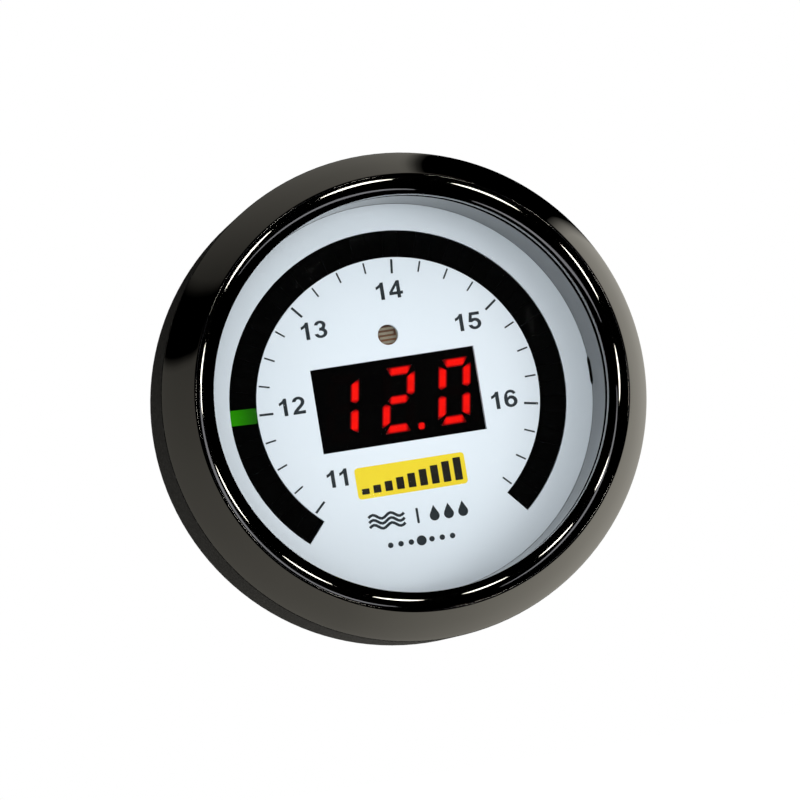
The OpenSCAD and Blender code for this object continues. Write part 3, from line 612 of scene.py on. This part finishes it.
def segmentCorners(name):
    w, h, t = display["width"] / 2, display["height"] / 2, display["stroke"]
    end, waist, shoulder = mitres["flatEnd"] * t, mitres["waist"] * t, mitres["shoulder"] * t
    flat = [(end - w, h), (w - end, h), (w - t, h - t), (t - w, h - t)]
    tall = [(w, h - mitres["outerGap"] * t), (w, waist), (w - end, mitres["tip"] * t), (w - t, waist),
            (w - t, h - mitres["innerGap"] * t)]
    middle = [(waist - w, 0), (shoulder - w, t / 2), (w - shoulder, t / 2),
              (w - waist, 0), (w - shoulder, -t / 2), (shoulder - w, -t / 2)]
    flips = {"a": (1, 1, flat), "d": (1, -1, flat), "b": (1, 1, tall), "c": (1, -1, tall),
             "e": (-1, -1, tall), "f": (-1, 1, tall), "g": (1, 1, middle)}
    fx, fy, points = flips[name]
    return [(x * fx, y * fy) for x, y in points]


def segmentOutline(name, centreX):
    slope = math.tan(math.radians(display["lean"]))
    leaning = [(x + y * slope + centreX, y + display["digitY"], display["corner"])
               for x, y in segmentCorners(name)]
    return roundedOutline(leaning, display["cornerSteps"])


def glowMap(piece, outline, across):
    layer = piece.data.uv_layers.new(name="glow")
    low = [min(p[k] for p in outline) for k in (0, 1)]
    high = [max(p[k] for p in outline) for k in (0, 1)]
    middle = ((low[0] + high[0]) / 2, (low[1] + high[1]) / 2)
    slope = math.tan(math.radians(display["lean"]))
    tall = high[1] - low[1] > high[0] - low[0]
    for loop in piece.data.loops:
        co = piece.data.vertices[loop.vertex_index].co
        x, y = co.x / mm, co.z / mm
        sideways = x - middle[0] - (y - middle[1]) * slope
        upward = y - middle[1]
        along, aside = (upward, sideways) if tall else (sideways, upward)
        length = (high[1] - low[1]) if tall else (high[0] - low[0] - across * slope)
        layer.data[loop.index].uv = (0.5 + along / length, 0.5 + aside / across)
    return piece


segmentGlow = {"soft": (("X", 0.20), ("Y", 0.27)), "blotch": 700, "uneven": (0.82, 1.0),
               "stops": ((0.0, (0.09, 0.0, 0.0)), (0.45, (0.58, 0.0, 0.001)), (1.0, (1.0, 0.006, 0.002))),
               "base": (0.01, 0.0, 0.0), "rough": 0.4, "specular": 0.1}


def segmentMaterial(look):
    material, nodes, links, shader = startMaterial("segmentGlow")
    uv = nodes.new("ShaderNodeUVMap")
    uv.uv_map = "glow"
    apart = nodes.new("ShaderNodeSeparateXYZ")
    links.new(uv.outputs["UV"], apart.inputs["Vector"])
    fades = []
    for axis, soft in look["soft"]:
        offset = mathNode(nodes, links, "SUBTRACT", apart.outputs[axis], 0.5)
        offset = mathNode(nodes, links, "ABSOLUTE", offset)
        fades.append(mapRange(nodes, links, offset, 0.5, 0.5 - soft, 0, 1, smooth=True))
    glow = mathNode(nodes, links, "MULTIPLY", *fades)
    uneven = mapRange(nodes, links, addGrain(nodes, look)["Blotch"], 0, 1, *look["uneven"])
    glow = mathNode(nodes, links, "MULTIPLY", glow, uneven)
    links.new(colourRamp(nodes, links, glow, look["stops"]), shader.inputs["Emission Color"])
    setInputs(shader, {"Emission Strength": 1.0, "Base Color": (*look["base"], 1), "Roughness": look["rough"],
                       "Specular IOR Level": look["specular"]})
    return material


def buildLitSegments():
    low = display["face"] - display["depth"]
    thick = display["depth"] + display["proud"]
    pieces = []
    for i, names in enumerate(display["lit"]):
        centreX = display["digitX"] + (i - 1) * display["pitch"]
        for name in names:
            outline = segmentOutline(name, centreX)
            segment = flatShape("segment", [outline], low, thick)
            pieces.append(glowMap(segment, outline, display["stroke"]))
    px, py = display["digitX"] + display["pointAt"][0], display["digitY"] + display["pointAt"][1]
    outline = ringOutline(px, py, display["pointSize"] / 2)
    pieces.append(glowMap(flatShape("point", [outline], low, thick), outline, display["pointSize"]))
    piece = joinPieces("litSegments", pieces, segmentMaterial(segmentGlow))
    settle(piece, "root", ["display_segments_lit"])


buildLitSegments()
print("digits lit")


# the lit bar: a green diffuser, brighter at its outer end
litBar = {"centre": 19.325, "width": 1.86, "length": 3.15, "low": 2.0, "top": 7.4, "corner": 0.12,
          "cornerSteps": 3, "bright": (0.017, 0.235, 0.0004), "dim": (0.009, 0.100, 0.003),
          "blotch": 500, "uneven": (-0.08, 0.08), "base": (0.001, 0.004, 0.0), "rough": 0.4, "specular": 0.05}


def barAngle(number):
    return dial["firstAngle"] + (number - 1) * dial["sweep"] / (dial["bars"] - 1)


def buildLitBar():
    w, reach = litBar["width"] / 2, litBar["length"] / 2
    inner, outer = litBar["centre"] - reach, litBar["centre"] + reach
    outline = roundedBox(-w, w, inner, outer, litBar["corner"], litBar["cornerSteps"])
    piece = flatShape("litBarDiffuser", [outline], litBar["low"], litBar["top"] - litBar["low"],
                      turn=barAngle(dial["litBar"]))
    material, nodes, links, shader = startMaterial("barGreen")
    sideways = objectAxes(nodes, links)["X"]
    along = mapRange(nodes, links, sideways, -outer * mm, -inner * mm, 0, 1, smooth=True)
    uneven = mapRange(nodes, links, addGrain(nodes, litBar)["Blotch"], 0, 1, *litBar["uneven"])
    tone = mixColours(nodes, links, mathNode(nodes, links, "ADD", along, uneven, clamp=True),
                      litBar["bright"], litBar["dim"])
    links.new(tone, shader.inputs["Emission Color"])
    setInputs(shader, {"Emission Strength": 1.0, "Base Color": (*litBar["base"], 1),
                       "Roughness": litBar["rough"], "Specular IOR Level": litBar["specular"]})
    piece.data.materials.append(material)
    settle(piece, "root", ["bar_diffuser_lit"])


buildLitBar()

# the sensor's folded track: orange-brown, with painted shade making it darker and redder towards its upper
# runs, where the edge of the hole above it shades it
track = {"high": (0.085, 0.034, 0.018), "low": (0.23, 0.085, 0.025), "from": 7.0, "to": 9.3,
         "grain": 6000, "grainShare": 0.35, "fleck": (0.05, 0.03, 0.02), "rough": (0.3, 0.5)}


def trackMaterial(look):
    material, nodes, links, shader = startMaterial("sensorTrack")
    upward = objectAxes(nodes, links)["Z"]
    rise = mapRange(nodes, links, upward, look["from"] * mm, look["to"] * mm, 0, 1)
    # painted shade: the colour darkens with height towards the hole's upper edge
    tone = mixColours(nodes, links, rise, look["low"], look["high"])
    grain = addGrain(nodes, look)["Grain"]
    fleck = mathNode(nodes, links, "MULTIPLY", grain, look["grainShare"])
    links.new(mixColours(nodes, links, fleck, tone, look["fleck"]), shader.inputs["Base Color"])
    links.new(mapRange(nodes, links, grain, 0, 1, *look["rough"]), shader.inputs["Roughness"])
    return material


paint("light_sensor_track", trackMaterial(track))

# printing on the dial: scale marks, plain numbers and generic signs, each a thin raised layer of ink
inks = {"scaleInk": {"colour": (0.017, 0.026, 0.033), "second": (0.022, 0.032, 0.040),
                     "grain": 5200, "rough": (0.4, 0.5), "specular": 0.3, "bump": 0.000002},
        "blackInk": {"colour": (0.010, 0.009, 0.006), "second": (0.016, 0.015, 0.011),
                     "grain": 5200, "rough": (0.35, 0.45), "specular": 0.3, "bump": 0.000002},
        "yellowInk": {"colour": (0.86, 0.66, 0.012), "second": (0.90, 0.72, 0.020),
                      "grain": 4200, "blotch": 200, "rough": (0.35, 0.45), "specular": 0.3, "bump": 0.000002}}
for key, look in inks.items():
    materials[key] = grainedMaterial(key, look)


def printOn(name, pieces, ink):
    settle(joinPieces(name, pieces, materials[ink]), "root")


def printShape(name, outlines, **places):
    return flatShape(name, outlines, dial["face"], dial["markHeight"], **places)


marks = {"outer": 17.4, "major": {"inner": 15.65, "width": 0.28}, "minor": {"inner": 16.05, "width": 0.20},
         "majorEvery": 4, "corner": 0.04, "cornerSteps": 3}


def buildMarks():
    pieces = []
    for i in range(dial["bars"]):
        mark = marks["minor" if i % marks["majorEvery"] else "major"]
        w, inner, outer, c = mark["width"] / 2, mark["inner"], marks["outer"], marks["corner"]
        outline = roundedOutline([(-w, inner, c), (w, inner, c), (w, outer, 0), (-w, outer, 0)],
                                 marks["cornerSteps"])
        pieces.append(printShape("mark", [outline], turn=barAngle(i + 1)))
    printOn("scaleMarks", pieces, "scaleInk")


buildMarks()

# a film carries the dial's white up to the bore, apart from a notch at three and nine o'clock
film = {"outer": 24.27, "inner": 22.6, "notchIn": 24.12, "notchHalf": 1.6, "parts": 240}


def buildFilm():
    outline = []
    for x, z in ringOutline(0, 0, film["outer"], film["parts"]):
        shrink = film["notchIn"] / film["outer"] if abs(z) < film["notchHalf"] else 1
        outline.append((x * shrink, z * shrink))
    hole = ringOutline(0, 0, film["inner"], film["parts"])
    piece = flatShape("dialFilm", [outline, hole], dial["face"], dial["markHeight"] / 2)
    piece.data.materials.append(materials["faceplate"])
    settle(piece, "root")


buildFilm()

# each numeral's outlines in a cell one unit high, and where the scale's numbers stand
glyphs = {
    "1": [[(0.54, 0), (0.54, 1), (0.385, 1), (0.35, 0.93), (0.29, 0.865), (0.21, 0.81), (0.13, 0.78),
           (0.13, 0.61), (0.25, 0.66), (0.345, 0.73), (0.345, 0)]],
    "2": [[(0.045, 0), (0.72, 0), (0.72, 0.178), (0.335, 0.178), (0.40, 0.25), (0.50, 0.34), (0.62, 0.46),
           (0.69, 0.56)] + arc(0.395, 0.705, 0.325, 0.295, -12, 176)
          + arc(0.395, 0.70, 0.135, 0.145, 172, -15) + [(0.50, 0.585), (0.42, 0.50), (0.28, 0.375),
                                                        (0.14, 0.235), (0.07, 0.11)]],
    "3": [arc(0.385, 0.735, 0.305, 0.265, 172, -32) + arc(0.385, 0.29, 0.34, 0.29, 48, -174)
          + arc(0.385, 0.285, 0.15, 0.135, -172, 78) + [(0.31, 0.435), (0.33, 0.59)]
          + arc(0.385, 0.72, 0.12, 0.125, -72, 168)],
    "4": [[(0.45, 0), (0.45, 0.2), (0.04, 0.2), (0.04, 0.365), (0.475, 1), (0.635, 1), (0.635, 0.37),
           (0.76, 0.37), (0.76, 0.2), (0.635, 0.2), (0.635, 0)], [(0.45, 0.37), (0.45, 0.715), (0.22, 0.37)]],
    "5": [[(0.155, 1), (0.68, 1), (0.68, 0.825), (0.29, 0.825), (0.262, 0.655)]
          + arc(0.385, 0.33, 0.345, 0.33, 104, -172) + arc(0.385, 0.325, 0.155, 0.165, -165, 148)
          + [(0.235, 0.435), (0.07, 0.455)]],
    "6": [arc(0.40, 0.735, 0.30, 0.265, 6, 90) + arc(0.40, 0.5, 0.345, 0.5, 96, 176)
          + arc(0.40, 0.335, 0.345, 0.335, 182, 455) + [(0.30, 0.625), (0.245, 0.575)]
          + arc(0.40, 0.72, 0.15, 0.13, 172, 6), arc(0.40, 0.325, 0.15, 0.165, 0, 345, 20)],
}
numerals = {"height": 2.15, "stretch": 1.1, "gap": 0.62, "places": {
    "11": (-9.1, -8.4), "12": (-13.2, 1.2), "13": (-9.0, 10.05),
    "14": (1.05, 13.55), "15": (10.15, 8.25), "16": (13.05, -1.95)}}


def buildNumerals():
    pieces = []
    width, height = numerals["height"] * numerals["stretch"], numerals["height"]
    for number, (x, z) in numerals["places"].items():
        columns = [[p[0] * width for p in glyphs[digit][0]] for digit in number]
        spans = [(min(column), max(column)) for column in columns]
        total = sum(high - low for low, high in spans) + numerals["gap"] * (len(number) - 1)
        start = x - total / 2
        for digit, (low, high) in zip(number, spans):
            pieces.append(printShape("numeral", glyphs[digit], place=(start - low, z - height / 2),
                                     scale=(width, height)))
            start += high - low + numerals["gap"]
    printOn("scaleNumbers", pieces, "scaleInk")


buildNumerals()

# generic signs in the two places below the display: rising levels on a plate, then waves, a divider and
# drops, then a row of dots
levels = {"plate": (-6.9, 6.9, -11.45, -7.55), "round": 0.45, "count": 9, "width": 0.95, "inset": 0.55,
          "lowest": 0.25, "barRound": 0.08}
waves = {"rows": (-1, 0, 1), "rowStep": 0.62, "start": -6.1, "step": 0.28, "points": 17, "high": 0.28,
         "width": 0.34, "middle": -14.45}
divider = {"half": 0.15, "reach": 0.95, "round": 0.1}
drops = {"places": (2.1, 3.9, 5.7), "radius": 0.62, "sink": 0.32, "tip": 1.0, "from": 150, "to": 390,
         "steps": 20}
dots = {"count": 7, "start": -3.9, "step": 1.3, "middle": -17.55, "radius": 0.34, "bigRadius": 0.62, "big": 3}


def buildLevels():
    x0, x1, z0, z1 = levels["plate"]
    plate = printShape("plate", [roundedBox(x0, x1, z0, z1, levels["round"])])
    printOn("levelSignPlate", [plate], "yellowInk")
    inset, steps = levels["inset"], levels["count"] - 1
    step = (x1 - x0 - 2 * inset - levels["width"]) / steps
    bars = []
    for i in range(levels["count"]):
        left = x0 + inset + i * step
        top = z0 + inset + (z1 - z0 - 2 * inset) * (levels["lowest"] + (1 - levels["lowest"]) * i / steps)
        outline = roundedBox(left, left + levels["width"], z0 + inset, top, levels["barRound"])
        bars.append(flatShape("level", [outline], dial["face"] + dial["markHeight"], dial["markHeight"]))
    printOn("levelSignBars", bars, "blackInk")


def buildMixtureSign():
    middle, pieces = waves["middle"], []
    for row in waves["rows"]:
        path = [(waves["start"] + waves["step"] * i,
                 middle + waves["rowStep"] * row + waves["high"] * math.sin(i * math.pi / 4))
                for i in range(waves["points"])]
        pieces.append(printShape("wave", [strokeOutline(path, waves["width"])]))
    stroke = roundedBox(-divider["half"], divider["half"], middle - divider["reach"],
                        middle + divider["reach"], divider["round"])
    pieces.append(printShape("divider", [stroke]))
    for x in drops["places"]:
        drop = arc(x, middle - drops["sink"], drops["radius"], drops["radius"], drops["from"], drops["to"],
                   drops["steps"])
        pieces.append(printShape("drop", [drop + [(x, middle + drops["tip"])]]))
    printOn("mixtureSign", pieces, "scaleInk")


def buildDots():
    pieces = []
    for i in range(dots["count"]):
        radius = dots["bigRadius"] if i == dots["big"] else dots["radius"]
        outline = ringOutline(dots["start"] + dots["step"] * i, dots["middle"], radius)
        pieces.append(printShape("dot", [outline]))
    printOn("balanceSign", pieces, "scaleInk")


buildLevels()
buildMixtureSign()
buildDots()
print("dial printed")


# stage: a plain pale floor, soft lamps, and a dark tent that only reflections see
def reflectedOnly(piece):
    for ray in ("camera", "diffuse", "transmission", "volume_scatter", "shadow"):
        setattr(piece, "visible_" + ray, False)


def seenDirectly(nodes, links):
    path = nodes.new("ShaderNodeLightPath")
    seen = mathNode(nodes, links, "MAXIMUM", path.outputs["Is Camera Ray"], path.outputs["Is Glossy Ray"])
    return mathNode(nodes, links, "MAXIMUM", seen, path.outputs["Is Transmission Ray"])


floorLook = {"height": -0.12, "size": 12, "colour": (0.80, 0.80, 0.80), "rough": 0.9, "glow": 0.62}


def buildFloor():
    bpy.ops.mesh.primitive_plane_add(size=floorLook["size"], location=(0, 0, floorLook["height"]))
    floor = bpy.context.object
    floor.name = "floor"
    material, nodes, links, shader = startMaterial("paleFloor")
    setInputs(shader, {"Base Color": (*floorLook["colour"], 1), "Roughness": floorLook["rough"],
                       "Specular IOR Level": 0.0, "Emission Color": (1, 1, 1, 1)})
    glow = mathNode(nodes, links, "MULTIPLY", seenDirectly(nodes, links), floorLook["glow"])
    links.new(glow, shader.inputs["Emission Strength"])
    floor.data.materials.append(material)


buildFloor()

worldLook = {"ambient": 0.92, "white": 1.0}
world = bpy.data.worlds.new("studio")
world.use_nodes = True
bpy.context.scene.world = world
worldNodes, worldLinks = world.node_tree.nodes, world.node_tree.links
strength = mapRange(worldNodes, worldLinks, seenDirectly(worldNodes, worldLinks), 0, 1,
                    worldLook["ambient"], worldLook["white"])
worldLinks.new(strength, worldNodes["Background"].inputs["Strength"])
worldNodes["Background"].inputs["Color"].default_value = (1, 1, 1, 1)

lamps = {"key": {"place": (0.34, -0.64, -0.20), "size": 0.45, "power": 4.9, "colour": (1.0, 0.99, 0.97)},
         "fill": {"place": (-0.12, -0.75, -0.10), "size": 0.35, "power": 1.9, "colour": (0.93, 0.97, 1.0)}}
lampAim = toModel(0, 0, 10)
for lampName, lamp in lamps.items():
    light = bpy.data.lights.new(lampName, "AREA")
    light.size, light.energy, light.color = lamp["size"], lamp["power"], lamp["colour"]
    holder = bpy.data.objects.new(lampName, light)
    bpy.context.scene.collection.objects.link(holder)
    holder.location = lamp["place"]
    holder.rotation_euler = (lampAim - Vector(lamp["place"])).to_track_quat("-Z", "Y").to_euler()
    holder.visible_glossy = False

# what the polished ring mirrors: darkness in front, and behind it two warm grey cards that fade along their
# length, each given by angle round the dial and strength
tent = {"radius": 0.11, "segments": 96, "rings": 48, "split": 85, "soft": 4, "bendFrom": 112, "bend": 0.9,
        "front": (0.0, 0.0, 0.0), "warm": (1.0, 0.965, 0.875),
        "cards": ((0, 0.65), (34, 0.60), (39, 0), (71, 0), (75, 0.30), (135, 0.07), (140, 0), (158, 0),
                  (161, 0.13), (250, 0.27), (320, 0.65), (360, 0.65))}


def glowMaterial(name):
    material = bpy.data.materials.new(name)
    material.use_nodes = True
    nodes, links = material.node_tree.nodes, material.node_tree.links
    nodes.remove(nodes["Principled BSDF"])
    glow = nodes.new("ShaderNodeEmission")
    links.new(glow.outputs["Emission"], nodes["Material Output"].inputs["Surface"])
    return material, nodes, links, glow


def buildTent():
    bpy.ops.mesh.primitive_uv_sphere_add(segments=tent["segments"], ring_count=tent["rings"],
                                         radius=tent["radius"], location=toModel(0, 0, dial["face"]))
    shell = bpy.context.object
    shell.name = "darkTent"
    material, nodes, links, glow = glowMaterial("darkTent")
    place = nodes.new("ShaderNodeTexCoord")
    unit = nodes.new("ShaderNodeVectorMath")
    unit.operation = "NORMALIZE"
    links.new(place.outputs["Object"], unit.inputs[0])
    apart = nodes.new("ShaderNodeSeparateXYZ")
    links.new(unit.outputs["Vector"], apart.inputs["Vector"])
    polar = mathNode(nodes, links, "ARCCOSINE", mathNode(nodes, links, "MULTIPLY", apart.outputs["Y"], -1.0))
    split, soft = tent["split"], tent["soft"]
    behind = mapRange(nodes, links, polar, math.radians(split - soft), math.radians(split + soft), 0, 1, True)
    turned = mathNode(nodes, links, "ARCTAN2", apart.outputs["Z"], apart.outputs["X"])
    away = mathNode(nodes, links, "SUBTRACT", polar, math.radians(tent["bendFrom"]))
    bend = mathNode(nodes, links, "MULTIPLY", mathNode(nodes, links, "MULTIPLY", away, away), tent["bend"])
    turned = mathNode(nodes, links, "ADD", mathNode(nodes, links, "ADD", turned, bend), 2 * math.pi)
    share = mathNode(nodes, links, "FRACT", mathNode(nodes, links, "DIVIDE", turned, 2 * math.pi))
    cards = colourRamp(nodes, links, share, [(angle / 360, [value * c for c in tent["warm"]])
                                             for angle, value in tent["cards"]])
    links.new(mixColours(nodes, links, behind, tent["front"], cards), glow.inputs["Color"])
    shell.data.materials.append(material)
    reflectedOnly(shell)


buildTent()

# two ring lamps in front, each a circle of equal arcs round an axis that leans from the dial's, in degrees
ringLamps = {"distance": 0.10, "points": 5, "endShare": 0.25, "roundness": 2, "order": 3, "smoothness": 12,
             "bright": {"lean": (8, 7), "radius": 19, "count": 12, "share": 0.55, "thick": 0.0010,
                        "strength": 12.0, "colour": (1.0, 0.98, 0.92)},
             "soft": {"lean": (5, -2), "radius": 21, "count": 4, "share": 0.75, "thick": 0.0014,
                      "strength": 0.9, "colour": (0.86, 0.88, 1.0)}}


def lampPoint(look, turn):
    right = math.radians(look["lean"][0] + look["radius"] * math.cos(turn))
    up = math.radians(look["lean"][1] + look["radius"] * math.sin(turn))
    off, around = math.hypot(right, up), math.atan2(up, right)
    arm = Vector((math.sin(off) * math.cos(around), -math.cos(off), math.sin(off) * math.sin(around)))
    return toModel(0, 0, dial["face"]) + ringLamps["distance"] * arm


def buildRingLamp(name, look):
    data = bpy.data.curves.new(name, "CURVE")
    data.dimensions = "3D"
    data.bevel_depth = look["thick"]
    data.bevel_resolution = ringLamps["roundness"]
    step = 2 * math.pi / look["count"]
    for i in range(look["count"]):
        spline = data.splines.new("NURBS")
        spline.points.add(ringLamps["points"] - 1)
        spline.use_endpoint_u = True
        spline.order_u = ringLamps["order"]
        spline.resolution_u = ringLamps["smoothness"]
        for k, point in enumerate(spline.points):
            turn = step * (i + look["share"] * k / (ringLamps["points"] - 1))
            point.co = (*lampPoint(look, turn), 1)
        for end in (0, -1):
            spline.points[end].radius = ringLamps["endShare"]
    piece = bpy.data.objects.new(name, data)
    bpy.context.scene.collection.objects.link(piece)
    material, nodes, links, glow = glowMaterial(name)
    setInputs(glow, {"Color": (*look["colour"], 1), "Strength": look["strength"]})
    data.materials.append(material)
    reflectedOnly(piece)


buildRingLamp("brightRing", ringLamps["bright"])
buildRingLamp("softRing", ringLamps["soft"])
print("stage lit")

bpy.ops.object.select_all(action="DESELECT")
